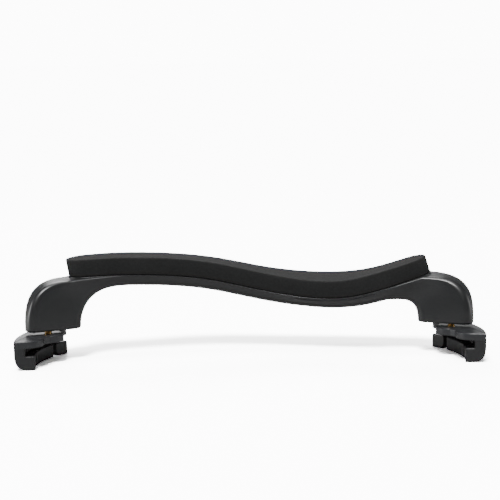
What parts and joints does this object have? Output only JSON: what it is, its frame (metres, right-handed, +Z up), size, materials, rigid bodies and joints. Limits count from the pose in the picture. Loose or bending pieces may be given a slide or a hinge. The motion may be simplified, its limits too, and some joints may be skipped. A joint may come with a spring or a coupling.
{
  "type": "viola shoulder rest",
  "caption": "Curved moulded bar with a foam pad on top, carried by two screw-in feet whose rubber claws grip the edge of a viola.",
  "frame": {"origin": "middle of the bounding box at the level of the claws' lower faces", "axes": "+X along the bar towards the end that dips and rises again, -Y the side both ends of the bar turn towards, +Z up from the feet to the pad"},
  "size_m": [0.2478, 0.0652, 0.055],
  "materials": {
    "bar_plastic": "satin black injection-moulded plastic",
    "foam": "matte black closed-cell foam with fine pores",
    "adhesive_film": "thin double-sided adhesive film",
    "screw_brass": "plain machined brass",
    "insert_metal": "darkened brass sleeve",
    "plate_plastic": "satin black moulded plastic",
    "claw_rubber": "satin black rubber"
  },
  "bodies": {
    "bar": {"shoulder_bar": "bar_plastic", "foam_pad": "foam", "pad_adhesive": "adhesive_film", "insert_left_outer": "insert_metal", "insert_left_inner": "insert_metal", "insert_right_outer": "insert_metal", "insert_right_inner": "insert_metal"},
    "left_screw": {"stud_left": "screw_brass"},
    "left_foot": {"foot_plate_left": "plate_plastic", "claw_left_front": "claw_rubber", "claw_left_centre": "claw_rubber", "claw_left_rear": "claw_rubber"},
    "right_screw": {"stud_right": "screw_brass"},
    "right_foot": {"foot_plate_right": "plate_plastic", "claw_right_front": "claw_rubber", "claw_right_centre": "claw_rubber", "claw_right_rear": "claw_rubber"}
  },
  "joints": [
    {"name": "left_screw_height", "type": "slide", "parent": "bar", "child": "left_screw", "axis": [0, 0, 1], "range_m": [-0.0071, 0.0008]},
    {"name": "left_foot_turn", "type": "hinge", "parent": "left_screw", "child": "left_foot", "pos_m": [-0.108, -0.00914, 0.0164], "axis": [0, 0, 1], "range_deg": [-3600, 360]},
    {"name": "right_screw_height", "type": "slide", "parent": "bar", "child": "right_screw", "axis": [0, 0, 1], "range_m": [-0.0071, 0.0008]},
    {"name": "right_foot_turn", "type": "hinge", "parent": "right_screw", "child": "right_foot", "pos_m": [0.108, -0.00914, 0.0164], "axis": [0, 0, 1], "range_deg": [-3600, 360]}
  ],
  "couplings": [
    {"joint": "left_screw_height", "follows": "left_foot_turn", "m_per_rad": 0.00011141},
    {"joint": "right_screw_height", "follows": "right_foot_turn", "m_per_rad": 0.00011141}
  ]
}
